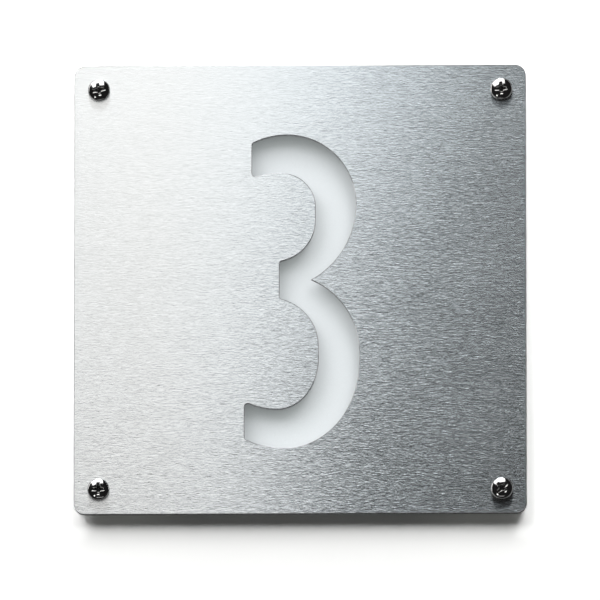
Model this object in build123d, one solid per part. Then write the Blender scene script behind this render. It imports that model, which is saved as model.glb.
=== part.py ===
"""House number: a brushed metal plate with a numeral cut through it, held off the wall by four
spacer sleeves and fixed by four pan-head cross-recess screws.

Frame in millimetres: +X to the right and +Z up as the plate is read, +Y into the wall.
The origin is the centre of the screw pattern, on the wall's surface.
"""

from build123d import *

import os

# Plate
PLATE_WIDTH = 150.0
PLATE_HEIGHT = 150.0
PLATE_THICKNESS = 2.0
PLATE_CORNER_RADIUS = 3.5
EDGE_BREAK = 0.2

# Screw places
SCREW_INSET = 8.2
SCREW_CLEARANCE = 0.3

# Spacer sleeve between plate and wall
SPACER_LENGTH = 3.0
SPACER_DIAMETER = 8.0

# Self-tapping pan-head screw: a plain neck under the head, and a thread from the wall inwards
THREAD_DIAMETER = 3.9
NECK_DIAMETER = 3.4
SHANK_LENGTH = 32.0
THREAD_RUN_OUT = 0.6
POINT_LENGTH = 5.0
POINT_TIP_DIAMETER = 0.6
HEAD_DIAMETER = 7.3
HEAD_HEIGHT = 2.7
HEAD_SIDE_HEIGHT = 1.45
HEAD_EDGE_RADIUS = 0.8

# Cross recess in the head
RECESS_SPAN = 4.7
RECESS_WING_WIDTH = 1.15
RECESS_DEPTH = 2.0
RECESS_FLOOR_SPAN = 1.7
RECESS_FLOOR_WIDTH = 0.6
RECESS_CORE_DIAMETER = 2.3

# How far each screw stopped turning, in degrees, anticlockwise as seen from the front
DRIVE_ANGLES = {
    "top_left": 12.0,
    "top_right": 4.0,
    "bottom_left": 0.0,
    "bottom_right": 43.0,
}

# Numeral: heights and places are from the plate's centre, X to the right and Y up
NUMERAL_TOP = 51.7
NUMERAL_BOTTOM = -53.0
STROKE_TOP = 12.7
STROKE_BOTTOM = 12.9
STROKE_SIDE = 13.4

UPPER_LEFT = -16.0
UPPER_PEAK_X = -4.3
UPPER_RIGHT = 18.5
UPPER_WIDEST = 28.5
UPPER_END_TOP = 48.9
UPPER_END_BOTTOM = 37.4
UPPER_INNER_PEAK_X = -6.7
UPPER_INNER_SHOULDER = 27.8
UPPER_INNER_WAIST = 23.2

MIDDLE_LEFT = -6.9
MIDDLE_TOP = 9.4
MIDDLE_BOTTOM = -3.1
CUSP_X = 3.6
CUSP_Y = 3.2

LOWER_LEFT = -18.5
LOWER_RIGHT = 19.5
LOWER_WIDEST_TOP = -20.9
LOWER_WIDEST_BOTTOM = -24.3
LOWER_TROUGH_X = -5.0
LOWER_END_TOP = -37.4
LOWER_END_BOTTOM = -50.0
LOWER_INNER_TROUGH_X = -7.5
LOWER_INNER_WAIST_TOP = -19.0
LOWER_INNER_WAIST_BOTTOM = -23.0
NUMERAL_CORNER_RADIUS = 1.2

SCREW_HOLE_DIAMETER = THREAD_DIAMETER + 2 * SCREW_CLEARANCE
NECK_LENGTH = PLATE_THICKNESS + SPACER_LENGTH
SCREW_X = PLATE_WIDTH / 2 - SCREW_INSET
SCREW_Z = PLATE_HEIGHT / 2 - SCREW_INSET
SCREW_PLACES = {
    "top_left": (-SCREW_X, SCREW_Z),
    "top_right": (SCREW_X, SCREW_Z),
    "bottom_left": (-SCREW_X, -SCREW_Z),
    "bottom_right": (SCREW_X, -SCREW_Z),
}

# Drawing planes face the reader, so solids on them grow towards -Y
WALL = Plane.XZ
PLATE_BACK = WALL.offset(SPACER_LENGTH)
PLATE_FRONT = PLATE_BACK.offset(PLATE_THICKNESS)


def quarter(center, across, up, start_angle):
    """A quarter of an upright ellipse, anticlockwise from start_angle."""
    return EllipticalCenterArc(center, across, up, start_angle, arc_size=90)


def numeral():
    """The numeral's face: down the outer side of its two bowls, then up their inner side."""
    inner_top = NUMERAL_TOP - STROKE_TOP
    inner_bottom = NUMERAL_BOTTOM + STROKE_BOTTOM
    upper_inner_right = UPPER_RIGHT - STROKE_SIDE
    lower_inner_right = LOWER_RIGHT - STROKE_SIDE
    down = (0, -1)
    left = (-1, 0)
    up = (0, 1)

    peak = (UPPER_PEAK_X, NUMERAL_TOP)
    upper_widest = (UPPER_RIGHT, UPPER_WIDEST)
    cusp = (CUSP_X, CUSP_Y)
    trough = (LOWER_TROUGH_X, NUMERAL_BOTTOM)
    inner_peak = (UPPER_INNER_PEAK_X, inner_top)
    inner_shoulder = (upper_inner_right, UPPER_INNER_SHOULDER)
    inner_waist = (upper_inner_right, UPPER_INNER_WAIST)
    inner_trough = (LOWER_INNER_TROUGH_X, inner_bottom)

    with BuildSketch() as sketch:
        with BuildLine():
            # Outer side of the upper bowl, from its end over the peak to the cusp
            TangentArc(peak, (UPPER_LEFT, UPPER_END_TOP), tangent=left)
            quarter((UPPER_PEAK_X, UPPER_WIDEST), UPPER_RIGHT - UPPER_PEAK_X,
                    NUMERAL_TOP - UPPER_WIDEST, 0)
            TangentArc(upper_widest, cusp, tangent=down)
            # Outer side of the lower bowl, from the cusp to its end
            TangentArc((LOWER_RIGHT, LOWER_WIDEST_TOP), cusp, tangent=up)
            Line((LOWER_RIGHT, LOWER_WIDEST_TOP), (LOWER_RIGHT, LOWER_WIDEST_BOTTOM))
            quarter((LOWER_TROUGH_X, LOWER_WIDEST_BOTTOM), LOWER_RIGHT - LOWER_TROUGH_X,
                    LOWER_WIDEST_BOTTOM - NUMERAL_BOTTOM, 270)
            TangentArc(trough, (LOWER_LEFT, LOWER_END_BOTTOM), tangent=left)
            Line((LOWER_LEFT, LOWER_END_BOTTOM), (LOWER_LEFT, LOWER_END_TOP))
            # Inner side of the lower bowl, up to the middle end
            TangentArc(inner_trough, (LOWER_LEFT, LOWER_END_TOP), tangent=left)
            quarter((LOWER_INNER_TROUGH_X, LOWER_INNER_WAIST_BOTTOM),
                    lower_inner_right - LOWER_INNER_TROUGH_X,
                    LOWER_INNER_WAIST_BOTTOM - inner_bottom, 270)
            Line((lower_inner_right, LOWER_INNER_WAIST_BOTTOM), (lower_inner_right, LOWER_INNER_WAIST_TOP))
            TangentArc((lower_inner_right, LOWER_INNER_WAIST_TOP), (MIDDLE_LEFT, MIDDLE_BOTTOM), tangent=up)
            Line((MIDDLE_LEFT, MIDDLE_BOTTOM), (MIDDLE_LEFT, MIDDLE_TOP))
            # Inner side of the upper bowl, back to its end
            TangentArc(inner_waist, (MIDDLE_LEFT, MIDDLE_TOP), tangent=down)
            Line(inner_waist, inner_shoulder)
            quarter((UPPER_INNER_PEAK_X, UPPER_INNER_SHOULDER), upper_inner_right - UPPER_INNER_PEAK_X,
                    inner_top - UPPER_INNER_SHOULDER, 0)
            TangentArc(inner_peak, (UPPER_LEFT, UPPER_END_BOTTOM), tangent=left)
            Line((UPPER_LEFT, UPPER_END_BOTTOM), (UPPER_LEFT, UPPER_END_TOP))
        make_face()
        ends = (UPPER_LEFT, MIDDLE_LEFT, LOWER_LEFT)
        corners = [v for v in sketch.vertices() if any(abs(v.X - end) < 1e-6 for end in ends)]
        fillet(corners, NUMERAL_CORNER_RADIUS)
    return sketch.sketch


def face_plate():
    """The plate: rounded square, numeral and screw holes cut through, front edges broken."""
    outline = RectangleRounded(PLATE_WIDTH, PLATE_HEIGHT, PLATE_CORNER_RADIUS)
    outline -= numeral()
    outline -= [Pos(*place) * Circle(SCREW_HOLE_DIAMETER / 2) for place in SCREW_PLACES.values()]
    plate = extrude(PLATE_BACK * outline, PLATE_THICKNESS)
    front = plate.faces().sort_by(Axis.Y)[0]
    return chamfer(front.edges(), EDGE_BREAK)


def spacer(place):
    """A plain sleeve around one screw, from the wall to the back of the plate."""
    ring = Circle(SPACER_DIAMETER / 2) - Circle(SCREW_HOLE_DIAMETER / 2)
    return extrude(WALL * Pos(*place) * ring, SPACER_LENGTH)


def screw_blank():
    """Head, neck, thread and point as one turned form, with +Z out of the head and Z = 0 under it."""
    head_radius = HEAD_DIAMETER / 2
    neck_radius = NECK_DIAMETER / 2
    thread_radius = THREAD_DIAMETER / 2
    shoulder = Vector(head_radius, HEAD_SIDE_HEIGHT)
    with BuildPart() as blank:
        with BuildSketch(Plane.XZ) as half:
            with BuildLine():
                Polyline(
                    (0, HEAD_HEIGHT),
                    (0, -SHANK_LENGTH),
                    (POINT_TIP_DIAMETER / 2, -SHANK_LENGTH),
                    (thread_radius, POINT_LENGTH - SHANK_LENGTH),
                    (thread_radius, -NECK_LENGTH),
                    (neck_radius, THREAD_RUN_OUT - NECK_LENGTH),
                    (neck_radius, 0),
                    (head_radius, 0),
                    shoulder,
                )
                TangentArc((0, HEAD_HEIGHT), shoulder, tangent=(1, 0))
            make_face()
            fillet(half.vertices().sort_by_distance(shoulder)[0], HEAD_EDGE_RADIUS)
        revolve(axis=Axis.Z)
    return blank.part


def cross_recess():
    """The driver's socket: two tapered wings across a cone, sunk from the top of the head."""
    top = Plane.XY.offset(HEAD_HEIGHT)
    floor = top.offset(-RECESS_DEPTH)
    socket = top * Pos(0, 0, -RECESS_DEPTH / 2) * Cone(
        RECESS_FLOOR_WIDTH / 2, RECESS_CORE_DIAMETER / 2, RECESS_DEPTH)
    for turn in (0, 90):
        mouth = top * Rot(Z=turn) * Rectangle(RECESS_SPAN, RECESS_WING_WIDTH)
        bed = floor * Rot(Z=turn) * Rectangle(RECESS_FLOOR_SPAN, RECESS_FLOOR_WIDTH)
        socket += loft([bed, mouth])
    return socket


def corner_screws():
    """The four screws, each stopped at its own angle."""
    screw = screw_blank() - cross_recess()
    return Compound(
        children=[
            PLATE_FRONT * Pos(*place) * Rot(Z=DRIVE_ANGLES[corner]) * screw
            for corner, place in SCREW_PLACES.items()
        ]
    )


def main():
    os.makedirs("parts", exist_ok=True)
    nodes = {"face_plate": face_plate(), "corner_screws": corner_screws()}
    for corner, place in SCREW_PLACES.items():
        nodes[f"spacer_{corner}"] = spacer(place)
    for name, solid in nodes.items():
        export_step(solid, f"parts/{name}.step")


main()
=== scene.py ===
"""House number: the looks of the brushed plate, its four screws and their spacer sleeves.

Metres, in the part's own frame: +X right and +Z up as the plate is read, +Y into the wall.
"""

import math

import bmesh
import bpy
from mathutils import Matrix, Quaternion, Vector


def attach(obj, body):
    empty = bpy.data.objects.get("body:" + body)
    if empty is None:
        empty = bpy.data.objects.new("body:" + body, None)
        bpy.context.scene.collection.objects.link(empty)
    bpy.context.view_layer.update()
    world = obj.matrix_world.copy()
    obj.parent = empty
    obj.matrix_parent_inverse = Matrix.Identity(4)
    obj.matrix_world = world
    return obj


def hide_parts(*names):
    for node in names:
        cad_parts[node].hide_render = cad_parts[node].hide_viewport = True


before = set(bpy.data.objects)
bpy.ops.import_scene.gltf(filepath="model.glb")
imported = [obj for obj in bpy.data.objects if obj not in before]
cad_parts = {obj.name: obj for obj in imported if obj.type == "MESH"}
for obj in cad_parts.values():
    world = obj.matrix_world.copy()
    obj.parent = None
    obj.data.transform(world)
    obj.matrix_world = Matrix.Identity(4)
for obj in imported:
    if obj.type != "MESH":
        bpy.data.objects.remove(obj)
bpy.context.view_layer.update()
scene = bpy.context.scene
MM = 0.001

# Sizes shared with the solids, in millimetres
SCREW_PLACE = 66.8
PLATE_FRONT = -5.0
WALL_GAP = 3.0
HEAD_RADIUS = 3.65
HEAD_HEIGHT = 2.7
HEAD_SIDE = 1.45
HEAD_EDGE = 0.8
NECK_RADIUS = 1.7
NECK_LENGTH = 5.0
NECK_RUN_OUT = 0.6
THREAD_RADIUS = 1.95
SHANK_LENGTH = 32.0
POINT_LENGTH = 5.0
TIP_RADIUS = 0.3
RECESS_DEPTH = 2.0
SPACER_RADIUS = 4.0
SPACER_BORE = 2.25
# Which way each corner lies from the middle, and how far its screw is turned, in degrees
CORNERS = {
    "top_left": (-1, 1, 12.0),
    "top_right": (1, 1, 4.0),
    "bottom_left": (-1, -1, 0.0),
    "bottom_right": (1, -1, 43.0),
}

# The crown of a screw head is part of a ball, and its underside has a small soft edge
CROWN_RISE = HEAD_HEIGHT - HEAD_SIDE
CROWN_RADIUS = (HEAD_RADIUS ** 2 + CROWN_RISE ** 2) / (2 * CROWN_RISE)
CROWN_Z = HEAD_HEIGHT - CROWN_RADIUS
CROWN_STEPS = 4
HEAD_EDGE_STEPS = 12
UNDER_EDGE = 0.12
UNDER_EDGE_MIDDLE = 0.035

# Cross recess, measured from the head's axis, with a lip rolled between two slopes in degrees
RECESS_LENGTH = 2.3
RECESS_TIP = 0.62
RECESS_CORE = 1.25
RECESS_CLEAR = 2.5
RECESS_FLOOR = 0.85
RECESS_MOUTH = 0.03
RECESS_TO_ROUND = (0, 0.35, 0.7)
WING_SPREAD = 38
WING_END_STEPS = 3
WING_SIDE_STEPS = 6
CORE_TURN = 41.5
LIP_SIDE = 0.32
LIP_END = 0.65
LIP_SHALLOW = 14
LIP_STEEP = 52
LIP_STEPS = 6

# Thread, with one pitch of its profile: share of the pitch, height between core and crest
THREAD_CORE = 1.42
THREAD_PITCH = 1.35
THREAD_PROFILE = ((0.0, 0.0), (0.3, 0.0), (0.47, 0.92), (0.5, 1.0), (0.53, 0.92), (0.7, 0.0))
THREAD_SIDES = 40
TIP_CORE = TIP_RADIUS * 0.8

# Sleeves: rounded rims, and a parting line pressed in on two sides
SLEEVE_RIM = 0.3
SLEEVE_BORE_RIM = 0.15
SLEEVE_RIM_STEPS = 5
SLEEVE_SIDES = 96
PARTING_HALF_ANGLE = 2
PARTING_SKIN = 0.02
PARTING_SHRINK = 0.994

# Care of the meshes: creases above these degrees stay sharp, close points are welded, slivers dissolved
SCREW_CREASE = 32
SLEEVE_CREASE = 40
SHANK_WELD = 0.0008
SHANK_SLIVER = 0.0004
SLEEVE_WELD = 0.0005


def new_object(name, bm):
    """An object in the scene, made from a bmesh that is then freed."""
    mesh = bpy.data.meshes.new(name)
    bm.to_mesh(mesh)
    bm.free()
    obj = bpy.data.objects.new(name, mesh)
    scene.collection.objects.link(obj)
    return obj


def skin(bm, rings):
    """Joins rings of points one after another; a ring of one point closes the form with a fan."""
    made = [[bm.verts.new(point) for point in ring] for ring in rings]
    count = max(len(ring) for ring in made)
    for lower, upper in zip(made, made[1:]):
        for i in range(count):
            j = (i + 1) % count
            around = ((lower, i), (lower, j), (upper, j), (upper, i))
            corners = [ring[k % len(ring)] for ring, k in around]
            bm.faces.new(list(dict.fromkeys(corners)))


def lathe(bm, profile, segments):
    """Turns (radius, height) pairs about Z."""
    turns = [2 * math.pi * i / segments for i in range(segments)]
    rings = []
    for radius, height in profile:
        ring_turns = turns if radius else turns[:1]
        rings.append([(radius * math.cos(a), radius * math.sin(a), height) for a in ring_turns])
    skin(bm, rings)


def smooth(obj, angle):
    """Smooth shading that keeps edges sharper than this many degrees."""
    mesh = obj.data
    bm = bmesh.new()
    bm.from_mesh(mesh)
    limit = math.radians(angle)
    for face in bm.faces:
        face.smooth = True
    for edge in bm.edges:
        edge.smooth = len(edge.link_faces) == 2 and edge.calc_face_angle(0) < limit
    bm.to_mesh(mesh)
    bm.free()


def on_crown(x, y, drop=0):
    """A point on the head's crown, or this far below it."""
    return x, y, CROWN_Z + math.sqrt(CROWN_RADIUS ** 2 - x * x - y * y) - drop


def crown():
    """The head's top outwards from RECESS_CLEAR: the crown, then a rounded edge above the side."""
    edge_r = HEAD_RADIUS - HEAD_EDGE
    edge_z = CROWN_Z + math.sqrt((CROWN_RADIUS - HEAD_EDGE) ** 2 - edge_r ** 2)
    meet = math.atan2(edge_z - CROWN_Z, edge_r)
    start = math.acos(RECESS_CLEAR / CROWN_RADIUS)
    points = []
    for i in range(CROWN_STEPS):
        a = start + (meet - start) * i / CROWN_STEPS
        points.append((CROWN_RADIUS * math.cos(a), CROWN_Z + CROWN_RADIUS * math.sin(a)))
    for i in range(HEAD_EDGE_STEPS + 1):
        a = meet * (1 - i / HEAD_EDGE_STEPS)
        points.append((edge_r + HEAD_EDGE * math.cos(a), edge_z + HEAD_EDGE * math.sin(a)))
    return points


def cross(length, tip, core):
    """A cross outline of four tapering wings around a round core: (x, y, share of the wing's end)."""
    spread = math.radians(WING_SPREAD)
    root_x, root_y = core * math.cos(spread), core * math.sin(spread)
    half = [(length, tip * i / WING_END_STEPS, 1) for i in range(WING_END_STEPS)]
    for i in range(WING_SIDE_STEPS):
        x = length + (root_x - length) * i / WING_SIDE_STEPS
        y = tip + (root_y - tip) * i / WING_SIDE_STEPS
        half.append((x, y, 1 - i / WING_SIDE_STEPS))
    half += [(core * math.cos(a), core * math.sin(a), 0) for a in (spread, math.radians(CORE_TURN))]
    middle = [(core * math.sqrt(0.5), core * math.sqrt(0.5), 0)]
    quarter = half + middle + [(y, x, end) for x, y, end in half[:0:-1]]
    outline = []
    for _ in range(4):
        outline += quarter
        quarter = [(-y, x, end) for x, y, end in quarter]
    return outline


def recess_rings():
    """The cross recess, from the middle of its floor to a lip that rolls deeper at the wings' ends."""
    floor_z = HEAD_HEIGHT - RECESS_DEPTH
    floor = cross(RECESS_FLOOR, RECESS_FLOOR / 3, RECESS_FLOOR / 2)
    rings = [[(0, 0, floor_z)], [(x, y, floor_z) for x, y, _ in floor]]
    low, high = math.radians(LIP_SHALLOW), math.radians(LIP_STEEP)
    reach = math.sin(high) - math.sin(low)
    for i in range(LIP_STEPS + 1):
        roll = high + (low - high) * i / LIP_STEPS
        inward = (math.sin(roll) - math.sin(low)) / reach
        fall = (math.cos(low) - math.cos(roll)) / reach
        lip = cross(RECESS_LENGTH - LIP_END * inward, RECESS_TIP - LIP_SIDE * inward,
                    RECESS_CORE - LIP_SIDE * inward)
        rings.append([on_crown(x, y, fall * (LIP_SIDE + (LIP_END - LIP_SIDE) * end))
                      for x, y, end in lip])
    return rings


def screw_head():
    """Pan head with its cross recess, +Z out of the head, in millimetres."""
    rings = recess_rings()
    mouth = cross(RECESS_LENGTH + RECESS_MOUTH, RECESS_TIP + RECESS_MOUTH, RECESS_CORE + RECESS_MOUTH)
    turns = [math.atan2(y, x) for x, y, _ in mouth]
    # Between the mouth and the crown's first round ring the outline goes over from cross to circle
    for share in RECESS_TO_ROUND:
        rings.append([on_crown(x + (RECESS_CLEAR * math.cos(a) - x) * share,
                               y + (RECESS_CLEAR * math.sin(a) - y) * share)
                      for a, (x, y, _) in zip(turns, mouth)])
    under = [(HEAD_RADIUS, UNDER_EDGE), (HEAD_RADIUS - UNDER_EDGE_MIDDLE, UNDER_EDGE_MIDDLE),
             (HEAD_RADIUS - UNDER_EDGE, 0), (NECK_RADIUS, 0)]
    for radius, height in crown() + under:
        rings.append([(radius * math.cos(a), radius * math.sin(a), height) for a in turns])
    rings.append([(0, 0, 0)])
    bm = bmesh.new()
    skin(bm, rings)
    bmesh.ops.recalc_face_normals(bm, faces=bm.faces)
    return new_object("screw_head", bm)


def thread_radius_limits(depth):
    """(core, crest) at a depth below the head: run-out under the neck, then the tapering point."""
    core, crest = THREAD_CORE, THREAD_RADIUS
    run_in = min(1.0, max(0.0, (depth - NECK_LENGTH) / THREAD_PITCH))
    crest = core + (crest - core) * run_in
    left = SHANK_LENGTH - depth
    if left < POINT_LENGTH:
        taper = left / POINT_LENGTH
        core = TIP_CORE + (core - TIP_CORE) * taper
        crest = TIP_RADIUS + (THREAD_RADIUS - TIP_RADIUS) * taper
    return core, max(core, crest)


def screw_shank():
    """Plain neck and helical thread down to the point, in millimetres."""
    bm = bmesh.new()
    neck = [(NECK_RADIUS, 0), (NECK_RADIUS, -(NECK_LENGTH - NECK_RUN_OUT)), (THREAD_CORE, -NECK_LENGTH)]
    lathe(bm, neck, THREAD_SIDES)
    turns = int((SHANK_LENGTH - NECK_LENGTH) / THREAD_PITCH) + 3
    columns = []
    for j in range(THREAD_SIDES + 1):
        a = 2 * math.pi * j / THREAD_SIDES
        column = []
        for turn in range(-1, turns):
            for share, height in THREAD_PROFILE:
                depth = NECK_LENGTH + (turn + share + j / THREAD_SIDES) * THREAD_PITCH
                kept = min(max(depth, NECK_LENGTH), SHANK_LENGTH)
                core, crest = thread_radius_limits(kept)
                radius = core + (crest - core) * (height if kept == depth else 0)
                column.append(bm.verts.new((radius * math.cos(a), radius * math.sin(a), -kept)))
        columns.append(column)
    for left, right in zip(columns, columns[1:]):
        for i in range(len(left) - 1):
            bm.faces.new((left[i], right[i], right[i + 1], left[i + 1]))
    lathe(bm, [(TIP_CORE, -SHANK_LENGTH), (0, -SHANK_LENGTH)], THREAD_SIDES)
    bmesh.ops.remove_doubles(bm, verts=bm.verts, dist=SHANK_WELD)
    bmesh.ops.dissolve_degenerate(bm, edges=bm.edges, dist=SHANK_SLIVER)
    bmesh.ops.recalc_face_normals(bm, faces=bm.faces)
    return new_object("screw_shank", bm)


def seat(sx, depth, sz, turn=0):
    """From millimetres along +Z to the part's frame, at one corner and facing out of the wall."""
    return (Matrix.Translation(Vector((sx * SCREW_PLACE, depth, sz * SCREW_PLACE)) * MM)
            @ Matrix.Rotation(math.radians(90), 4, "X") @ Matrix.Rotation(math.radians(turn), 4, "Z")
            @ Matrix.Scale(MM, 4))


def place_screws():
    """All four screws as one piece, each head and shank at its own drive angle."""
    head, shank = screw_head(), screw_shank()
    bm = bmesh.new()
    for sx, sz, turn in CORNERS.values():
        for source in (head, shank):
            copy = source.data.copy()
            copy.transform(seat(sx, PLATE_FRONT, sz, turn))
            bm.from_mesh(copy)
            bpy.data.meshes.remove(copy)
    bpy.data.objects.remove(head)
    bpy.data.objects.remove(shank)
    screws = new_object("threaded_screws", bm)
    smooth(screws, SCREW_CREASE)
    return screws


def spacer_sleeve(name, sx, sz):
    """Moulded sleeve with rounded rims and a faint parting line on two sides."""
    profile = []
    for radius, height, quarter in ((SPACER_BORE, 0, 2), (SPACER_RADIUS, 0, 3),
                                    (SPACER_RADIUS, WALL_GAP, 0), (SPACER_BORE, WALL_GAP, 1)):
        outer = 1 if radius == SPACER_RADIUS else -1
        rim = SLEEVE_RIM if outer == 1 else SLEEVE_BORE_RIM
        rim_z = height + rim if height == 0 else height - rim
        for i in range(SLEEVE_RIM_STEPS + 1):
            a = math.radians(90 * quarter + 90 * i / SLEEVE_RIM_STEPS)
            profile.append((radius - outer * rim + rim * math.cos(a), rim_z + rim * math.sin(a)))
    bm = bmesh.new()
    lathe(bm, profile + profile[:1], SLEEVE_SIDES)
    for v in bm.verts:
        a = math.degrees(math.atan2(v.co.y, v.co.x)) % 180
        on_skin = math.hypot(v.co.x, v.co.y) > SPACER_RADIUS - PARTING_SKIN
        if min(a, 180 - a) < PARTING_HALF_ANGLE and on_skin:
            v.co.x *= PARTING_SHRINK
            v.co.y *= PARTING_SHRINK
    bmesh.ops.remove_doubles(bm, verts=bm.verts, dist=SLEEVE_WELD)
    bmesh.ops.recalc_face_normals(bm, faces=bm.faces)
    bm.transform(seat(sx, 0, sz))
    sleeve = new_object(name, bm)
    smooth(sleeve, SLEEVE_CREASE)
    return sleeve


class Nodes:
    """Short hand for building the node tree of a material, a lamp or the world."""

    def __init__(self, owner, output="ShaderNodeOutputMaterial"):
        self.owner = owner
        owner.use_nodes = True
        self.tree = owner.node_tree
        self.tree.nodes.clear()
        self.out = self.node(output)

    def node(self, kind, values=None, **settings):
        made = self.tree.nodes.new(kind)
        for key, value in settings.items():
            setattr(made, key, value)
        for key, value in (values or {}).items():
            if isinstance(value, bpy.types.NodeSocket):
                self.tree.links.new(value, made.inputs[key])
            else:
                made.inputs[key].default_value = value
        return made

    def math(self, operation, a, b=None, clamp=False):
        values = {0: a} if b is None else {0: a, 1: b}
        return self.node("ShaderNodeMath", values, operation=operation, use_clamp=clamp).outputs[0]

    def split(self, vector):
        return self.node("ShaderNodeSeparateXYZ", {0: vector}).outputs

    def join(self, x, y, z):
        return self.node("ShaderNodeCombineXYZ", {0: x, 1: y, 2: z}).outputs[0]

    def span(self, value, low, high, to_low, to_high):
        return self.node("ShaderNodeMapRange", {"Value": value, "From Min": low, "From Max": high,
                                                "To Min": to_low, "To Max": to_high}).outputs[0]

    def spread(self, noise, to_low=0, to_high=1, reach=0.15):
        """The middle of a noise, this far either side of a half, stretched over a range."""
        return self.span(noise, 0.5 - reach, 0.5 + reach, to_low, to_high)

    def noise(self, vector, scale, detail=2.0, rough=0.5):
        mapped = self.node("ShaderNodeMapping", {"Vector": vector, "Scale": scale}).outputs[0]
        return self.node("ShaderNodeTexNoise", {"Vector": mapped, "Scale": 1.0, "Detail": detail,
                                                "Roughness": rough}).outputs["Fac"]

    def mix(self, factor, a, b):
        return self.node("ShaderNodeMix", {0: factor, 2: a, 3: b}, data_type="FLOAT").outputs[0]

    def mix_colour(self, factor, a, b):
        a, b = [(*colour, 1) if isinstance(colour, tuple) else colour for colour in (a, b)]
        return self.node("ShaderNodeMix", {0: factor, 6: a, 7: b}, data_type="RGBA").outputs[2]

    def bump(self, height, strength, distance, **more):
        values = {"Strength": strength, "Distance": distance, "Height": height, **more}
        return self.node("ShaderNodeBump", values).outputs[0]

    def principled(self, **values):
        """The shader's sockets by their names in small letters, with _ for a space."""
        named = {name.replace("_", " ").title(): value for name, value in values.items()}
        return self.node("ShaderNodeBsdfPrincipled", named).outputs[0]

    def finish(self, shader):
        self.tree.links.new(shader, self.out.inputs["Surface"])
        return self.owner


# Brush marks on the plate's face: metres between rows, and marks to the metre along and into the plate
STROKE_PITCH = 0.00031
STROKES_ALONG = 390
STROKE_ROUGH = 0.85
STROKE_SHARE = 0.62
HAIR_PITCH = 0.00023
HAIRS_ALONG = 680
HAIR_ROUGH = 0.8
HAIR_SHARE = 0.38
MARKS_INWARD = 60
MARK_DETAIL = 4.0
# Rows wander by this much, jump this far through the noise, and darken the rows beside them
ROW_WANDER = 0.0008
ROW_WANDER_RATE = 600
ROW_JUMP = 7.3
ROW_CONTRAST = 0.22
# Marks tip the surface, by different amounts at the plate's foot and head
PLATE_HALF = 0.075
TIP_AT_FOOT = 2.05
TIP_AT_HEAD = 0.95
TIP_ALONG = -0.06
TIP_UP = 0.6


def brush_grain(n, place):
    """Strokes and fine hairs in straight rows along X; rows beside a bright mark are darker."""
    across, depth, up = n.split(place)
    uneven = n.noise(n.join(0, 0, up), (0, 0, ROW_WANDER_RATE), 1.0)
    lines = n.math("ADD", up, n.math("MULTIPLY", uneven, ROW_WANDER))

    def marks(pitch, along, rough, share):
        row = n.math("SNAP", lines, pitch)
        rate = (along, MARKS_INWARD, ROW_JUMP / pitch)
        here, over, under = [n.noise(n.join(across, depth, n.math("ADD", row, step * pitch)),
                                     rate, MARK_DETAIL, rough) for step in (0, 1, -1)]
        beside = n.math("MULTIPLY", n.math("SUBTRACT", n.math("ADD", over, under), 1.0), ROW_CONTRAST)
        return n.math("MULTIPLY", n.math("SUBTRACT", here, beside), share)

    return n.math("ADD", marks(STROKE_PITCH, STROKES_ALONG, STROKE_ROUGH, STROKE_SHARE),
                  marks(HAIR_PITCH, HAIRS_ALONG, HAIR_ROUGH, HAIR_SHARE))


def brushed_steel():
    """Brush lines along X on the front, a plain rolled back, and cut edges with lines across them."""
    n = Nodes(bpy.data.materials.new("brushed_steel"))
    where = n.node("ShaderNodeTexCoord")
    place, normal = where.outputs["Object"], where.outputs["Normal"]
    facing = n.split(normal)[1]
    flat = n.span(n.math("ABSOLUTE", facing), 0.75, 0.95, 0, 1)
    back = n.span(facing, 0.4, 0.9, 0, 1)
    bands = n.noise(place, (18, 40, 900))
    grain = brush_grain(n, place)
    cloud = n.noise(place, (14, 14, 20))
    kerf = n.noise(place, (2600, 90, 2600), 1.0)

    face = n.mix_colour(n.spread(grain, reach=0.18), (0.583, 0.604, 0.612), (0.677, 0.701, 0.709))
    face = n.mix_colour(n.spread(bands, 0, 0.35), face, (0.63, 0.652, 0.66))
    rear = n.mix_colour(n.spread(cloud), (0.52, 0.525, 0.53), (0.6, 0.605, 0.61))
    edge = n.mix_colour(n.spread(kerf), (0.3, 0.3, 0.305), (0.5, 0.5, 0.51))
    colour = n.mix_colour(flat, edge, n.mix_colour(back, face, rear))
    face_rough = n.math("ADD", n.spread(grain, 0.205, 0.255, reach=0.2), n.spread(cloud, -0.01, 0.01))
    rear_rough, edge_rough = 0.48, 0.42
    rough = n.mix(flat, edge_rough, n.mix(back, face_rough, rear_rough))

    # Each mark tips the front a little, most at the foot, so the grain shows where reflections fade
    tip = n.math("MULTIPLY", n.math("SUBTRACT", grain, 0.5), n.math("SUBTRACT", flat, back, True))
    growth = n.span(n.split(place)[2], -PLATE_HALF, PLATE_HALF, TIP_AT_FOOT, TIP_AT_HEAD)
    tip = n.math("MULTIPLY", tip, growth)
    tip = n.join(n.math("MULTIPLY", tip, TIP_ALONG), 0, n.math("MULTIPLY", tip, TIP_UP))
    tipped = n.node("ShaderNodeVectorMath", {0: normal, 1: tip}, operation="ADD").outputs[0]
    tipped = n.node("ShaderNodeVectorTransform", {0: tipped}, vector_type="NORMAL",
                    convert_from="OBJECT", convert_to="WORLD").outputs[0]
    height = n.mix(flat, n.math("MULTIPLY", kerf, 0.6), n.math("MULTIPLY", bands, 0.5))
    tangent = n.node("ShaderNodeTangent", direction_type="RADIAL", axis="Z").outputs[0]
    return n.finish(n.principled(
        base_color=colour, metallic=1.0, roughness=rough, anisotropic=1.0, anisotropic_rotation=0.25,
        normal=n.bump(height, 0.3, 0.00004, Normal=tipped), tangent=tangent))


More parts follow.
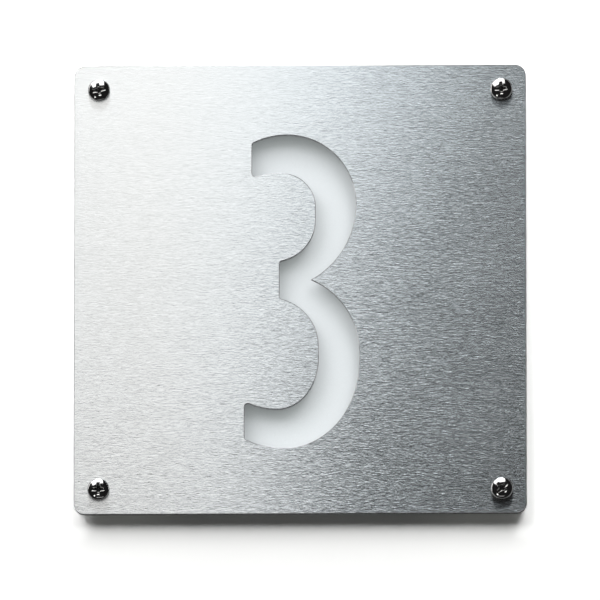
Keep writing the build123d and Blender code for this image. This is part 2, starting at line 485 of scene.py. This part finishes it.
def polished_steel():
    """The screws: bright, a little clouded and very finely uneven."""
    n = Nodes(bpy.data.materials.new("polished_steel"))
    place = n.node("ShaderNodeTexCoord").outputs["Object"]
    cloud = n.noise(place, (900, 900, 900))
    fine = n.noise(place, (5200, 5200, 5200), 1.0)
    colour = n.mix_colour(n.spread(cloud), (0.52, 0.515, 0.51), (0.6, 0.595, 0.59))
    rough = n.spread(cloud, 0.07, 0.13, reach=0.2)
    return n.finish(n.principled(
        base_color=colour, metallic=1.0, roughness=rough, normal=n.bump(fine, 0.05, 0.00002)))


def black_nylon():
    """The sleeves: moulded, with fine pores."""
    n = Nodes(bpy.data.materials.new("black_nylon"))
    place = n.node("ShaderNodeTexCoord").outputs["Object"]
    cloud = n.noise(place, (700, 700, 700), 3.0, 0.55)
    pores = n.noise(place, (6000, 6000, 6000))
    colour = n.mix_colour(n.spread(cloud), (0.018, 0.018, 0.019), (0.045, 0.045, 0.047))
    rough = n.spread(pores, 0.42, 0.6, reach=0.2)
    return n.finish(n.principled(
        base_color=colour, roughness=rough, normal=n.bump(pores, 0.25, 0.00004)))


# The wall's size, its distance from the sleeves, and how far from it the plate casts painted shade on
# the glow behind the numeral
WALL_SIZE = 6
WALL_CLEARANCE = 0.00005
SHADE_REACH = 0.02
# Areas of the wall, in metres from its middle; pairs are where a change starts and ends
# Behind the numeral the wall has painted shade in grey and a painted glow
NUMERAL_HALF_WIDTH = 0.035
NUMERAL_HALF_HEIGHT = 0.062
PLATE_COVER = 0.074
# Beside the plate the wall has painted light that lifts the plate's shadow there, ending below the
# plate
BESIDE_PLATE = (0.066, 0.072)
BELOW_PLATE = (-0.084, -0.076)
# The painted light beside the plate is brighter above this span of heights than below it
PAINTED_LIGHT_FADE = (-0.05, 0.03)
# A faint painted glow lifts the wall's shade, growing across this span out to the sides
GLOW_RISE = (0.036, 0.056)


def wall_seen(n, place, within):
    """The wall's colour and glow as they are seen: painted light beside the plate, painted shade and
    painted glow behind the numeral.
    """
    right, up, _ = n.split(place)
    across = n.math("ABSOLUTE", right)
    below = n.span(up, *BELOW_PLATE, 1, 0)
    beside = n.math("SUBTRACT", n.span(across, *BESIDE_PLATE, 0, 1), below, True)
    # Painted light: the wall beside the plate is brighter, more so higher up, lifting the plate's
    # shadow there
    painted_light_beside = n.mix_colour(n.span(up, *PAINTED_LIGHT_FADE, 1, 0), (1.85, 1.85, 1.84), (1.55, 1.55, 1.54))
    cloud = n.spread(n.noise(place, (30, 30, 30), 3.0), reach=0.2)
    seen = n.mix_colour(cloud, (1.03, 1.03, 1.02), (1.05, 1.05, 1.04))
    seen = n.mix_colour(beside, seen, painted_light_beside)
    # Painted shade: behind the numeral the wall is a cool grey
    seen = n.mix_colour(within, seen, (0.283, 0.283, 0.303))
    # Painted glow: faint over the wall, a little stronger towards the sides, bright behind the numeral
    glow = n.mix_colour(n.span(across, *GLOW_RISE, 0, 1), (0.034, 0.035, 0.033), (0.06, 0.061, 0.057))
    glow = n.mix_colour(within, glow, (0.607, 0.655, 0.652))
    return seen, glow


def wall_paint():
    """White wall, seen from the front only, so that the part's back shows in views from behind.

    The camera sees it a little brighter than it lights the part; around the plate the metal mirrors
    it as painted dark grey. Behind the numeral a painted glow stands in for light bounced between the
    plate's back and the wall, dimmed by painted shade where the plate hides the light from above.
    """
    n = Nodes(bpy.data.materials.new("wall_paint"))
    place = n.node("ShaderNodeTexCoord").outputs["Object"]
    across, upright = [n.math("ABSOLUTE", value) for value in n.split(place)[:2]]
    within = n.math("MULTIPLY", n.math("LESS_THAN", across, NUMERAL_HALF_WIDTH),
                    n.math("LESS_THAN", upright, NUMERAL_HALF_HEIGHT))
    seen, glow = wall_seen(n, place, within)
    # Painted shade: behind the numeral the glow dims by ambient occlusion where the plate hides the
    # light from above
    from_above = {"Distance": SHADE_REACH, "Normal": n.join(0.0, -0.6, 0.8)}
    open_sky = n.node("ShaderNodeAmbientOcclusion", from_above, samples=8).outputs["AO"]
    glow_share_after_painted_shade = n.mix(within, 1.0, n.span(open_sky, 0.05, 1, 0, 1))
    path = n.node("ShaderNodeLightPath").outputs
    covered = n.math("LESS_THAN", n.math("MAXIMUM", across, upright), PLATE_COVER)
    direct = n.math("MAXIMUM", n.math("MULTIPLY", path["Is Glossy Ray"], covered),
                    n.math("MAXIMUM", path["Is Camera Ray"], path["Is Transmission Ray"]))
    # Light bounced off the wall uses 0.9; outside the plate the metal mirrors it dark grey, a painted
    # dark reflection
    plain = n.mix_colour(path["Is Glossy Ray"], (0.9, 0.9, 0.9), (0.3, 0.3, 0.3))
    paint = n.node("ShaderNodeBsdfDiffuse", {"Color": n.mix_colour(direct, plain, seen)}).outputs[0]
    strength = n.math("MULTIPLY", direct, glow_share_after_painted_shade)
    # Painted glow standing in for bounced light, seen by the camera and in reflections over the plate
    painted_glow_shader = n.node("ShaderNodeEmission", {"Color": glow, "Strength": strength}).outputs[0]
    paint = n.node("ShaderNodeAddShader", {0: paint, 1: painted_glow_shader}).outputs[0]
    behind = n.node("ShaderNodeNewGeometry").outputs["Backfacing"]
    passed = n.math("GREATER_THAN", path["Transparent Depth"], 0.5)
    clear = n.node("ShaderNodeBsdfTransparent").outputs[0]
    shader = n.node("ShaderNodeMixShader", {0: n.math("MAXIMUM", behind, passed), 1: paint, 2: clear})
    return n.finish(shader.outputs[0])


# The part: screws and sleeves stand in for their solids, and the plate keeps its own
screws = place_screws()
screws.data.materials.append(polished_steel())
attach(screws, "root")
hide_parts("corner_screws")

nylon = black_nylon()
sleeves = []
for corner, (sx, sz, _) in CORNERS.items():
    sleeve = spacer_sleeve(f"sleeve_{corner}", sx, sz)
    sleeve.data.materials.append(nylon)
    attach(sleeve, "root")
    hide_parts(f"spacer_{corner}")
    sleeves.append(sleeve)

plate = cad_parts["face_plate"]
steel = brushed_steel()
for material_slot in plate.material_slots:
    material_slot.material = steel

# Wall, a hair behind the sleeves' backs
bpy.ops.mesh.primitive_plane_add(
    size=WALL_SIZE, location=(0, WALL_CLEARANCE, 0), rotation=(math.radians(90), 0, 0))
wall = bpy.context.object
wall.name = "wall"
wall.data.materials.append(wall_paint())


def studio_world():
    """Faint light in front of the plate, and more behind it for views from there."""
    scene.world = scene.world or bpy.data.worlds.new("studio")
    front_strength, back_strength = 0.02, 0.6
    n = Nodes(scene.world, "ShaderNodeOutputWorld")
    depth = n.split(n.node("ShaderNodeTexCoord").outputs["Generated"])[1]
    strength = n.span(depth, -0.3, 0.5, front_strength, back_strength)
    n.finish(n.node("ShaderNodeBackground", {"Strength": strength}).outputs[0])


def towards(azimuth, elevation):
    """Unit vector from the plate out to a place, in degrees right of and above its normal."""
    a, e = math.radians(azimuth), math.radians(elevation)
    return Vector((math.sin(a) * math.cos(e), -math.cos(a) * math.cos(e), math.sin(e)))


CENTRE = Vector((0, 0, 0))


def softbox(name, spot, width, height, power, aim=CENTRE, roll=0):
    """A rectangular lamp that the camera does not see."""
    data = bpy.data.lights.new(name, "AREA")
    data.shape = "RECTANGLE"
    data.size, data.size_y = width, height
    data.energy = power
    lamp = bpy.data.objects.new(name, data)
    lamp.location = spot
    lamp.rotation_mode = "QUATERNION"
    facing = (aim - spot).to_track_quat("-Z", "Y")
    lamp.rotation_quaternion = facing @ Quaternion((0, 0, 1), math.radians(roll))
    lamp.visible_camera = False
    scene.collection.objects.link(lamp)
    return lamp


def mirrored(name, spot, width, height, level, **turned):
    """A lamp that shows only as a reflection in metal, given by how bright it looks there."""
    lamp = softbox(name, spot, width, height, level * math.pi * width * height, **turned)
    lamp.visible_diffuse = False
    return lamp


def shine_on(lamps, targets):
    """Lets these lamps light these objects alone."""
    group = bpy.data.collections.new(f"lit_by_{lamps[0].name}")
    for target in targets:
        group.objects.link(target)
    for lamp in lamps:
        lamp.light_linking.receiver_collection = group


# Card: its place and brightness, and how far right its edge is at z = 0 and at the card's top
CARD_X = -0.03
CARD_Y = -0.35
CARD_Z = 0.25
CARD_LEVEL = 1.395
CARD_EDGE_LOW = -0.016
CARD_EDGE_HIGH = 0.197
CARD_TOP = 0.65
CARD_SOFTNESS = 0.026
CARD_FOOT_SHARE = 0.46
CARD_FOOT = 0.12


def graded_card():
    """A card of light with a slanting soft edge, dimmer at its foot and cooler to the right."""
    lamp = mirrored("card", Vector((CARD_X, CARD_Y, CARD_Z)), width=0.6, height=0.8, level=1.0,
                    aim=Vector((CARD_X, 0, CARD_Z)))
    n = Nodes(lamp.data, "ShaderNodeOutputLight")
    right, _, up = n.split(n.node("ShaderNodeNewGeometry").outputs["Position"])
    edge = n.span(n.math("MAXIMUM", up, 0.0), 0.0, CARD_TOP, CARD_EDGE_LOW, CARD_EDGE_HIGH)
    lit = n.span(n.math("SUBTRACT", edge, right), -CARD_SOFTNESS, CARD_SOFTNESS, 0, CARD_LEVEL)
    lit = n.math("MULTIPLY", lit, n.span(up, -CARD_FOOT, CARD_FOOT, CARD_FOOT_SHARE, 1))
    tint = n.mix_colour(n.span(right, -0.06, 0.03, 0, 1), (1.03, 1.0, 0.975), (0.93, 1.0, 1.05))
    n.finish(n.node("ShaderNodeEmission", {"Color": tint, "Strength": lit}).outputs[0])
    return lamp


studio_world()

# Three banks light the wall and the sleeves, and no metal mirrors them
BANK_DISTANCE = 2.4
banks = [softbox("bank_left", towards(-43, 34.5) * BANK_DISTANCE, width=1.7, height=1.1, power=45),
         softbox("bank_right", towards(23, 40.5) * BANK_DISTANCE, width=0.95, height=1.1, power=30),
         softbox("bank_top", towards(-4, 68) * BANK_DISTANCE, width=3.0, height=1.0, power=50)]
for bank in banks:
    bank.visible_glossy = False
shine_on(banks, [wall, *sleeves])

# What the plate mirrors: the card, and a strip high above it, whose light the screw heads keep from
# the plate below them
card = graded_card()
strip = mirrored("strip", Vector((-0.0885, CARD_Y, 0.75)), width=0.483, height=0.125, level=27)
strip.data.color = (0.965, 1.0, 1.02)
# Lamps almost level with the plate, for its broken edges that face up, right and left
rims = [mirrored("rim_right", Vector((0.95, -0.03, 0.6)), width=0.3, height=1.0, level=4.0),
        mirrored("rim_left", Vector((-1.0, -0.03, 0.25)), width=0.3, height=1.0, level=5.5)]
# Panels far to both sides, which show only when the plate is seen from the side
WING_DISTANCE = 2.0
wings = [mirrored("wing_left", towards(-48, -8) * WING_DISTANCE, width=1.6, height=2.2, level=0.8),
         mirrored("wing_right", towards(48, -8) * WING_DISTANCE, width=1.6, height=2.2, level=0.6)]
shine_on([card, strip, *rims, *wings], [plate])

# What the domed screw heads mirror: a panel above, a small lamp low on the left, a tall one beside
# the wall and a thin bar below
PANEL_SPOT = Vector((-0.206, -0.328, 0.716))
SPARK_DISTANCE = 2.5
panel = mirrored("panel", PANEL_SPOT, width=1.0, height=0.75, level=3.0,
                 aim=PANEL_SPOT - towards(-16.7, 54.8), roll=24)
spark = mirrored("spark", towards(-33.8, -35.8) * SPARK_DISTANCE, width=0.3, height=0.3, level=3.5)
sliver = mirrored("sliver", Vector((-1.05, -0.21, 0.55)), width=0.35, height=1.0, level=1.6)
sill = mirrored("sill", Vector((0.0, -0.26, -0.36)), width=0.3, height=0.03, level=0.5)
shine_on([panel, spark, sliver, sill], [screws])

# Camera, far away and looking up at the plate by a few degrees
SENSOR_WIDTH = 36
VIEW_DISTANCE = 5.5
VIEW_WIDTH = 0.19885
VIEW_AIM = Vector((-0.00007, -0.005, -0.0036))
VIEW_AZIMUTH = 1.5
VIEW_ELEVATION = -7.9
view_from = towards(VIEW_AZIMUTH, VIEW_ELEVATION)
camera_data = bpy.data.cameras.new("camera")
camera_data.sensor_width = SENSOR_WIDTH
camera_data.lens = SENSOR_WIDTH * VIEW_DISTANCE / VIEW_WIDTH
camera = bpy.data.objects.new("camera", camera_data)
scene.collection.objects.link(camera)
camera.location = VIEW_AIM + view_from * VIEW_DISTANCE
camera.rotation_mode = "QUATERNION"
camera.rotation_quaternion = (-view_from).to_track_quat("-Z", "Y")
scene.camera = camera
scene.view_settings.view_transform = "Standard"
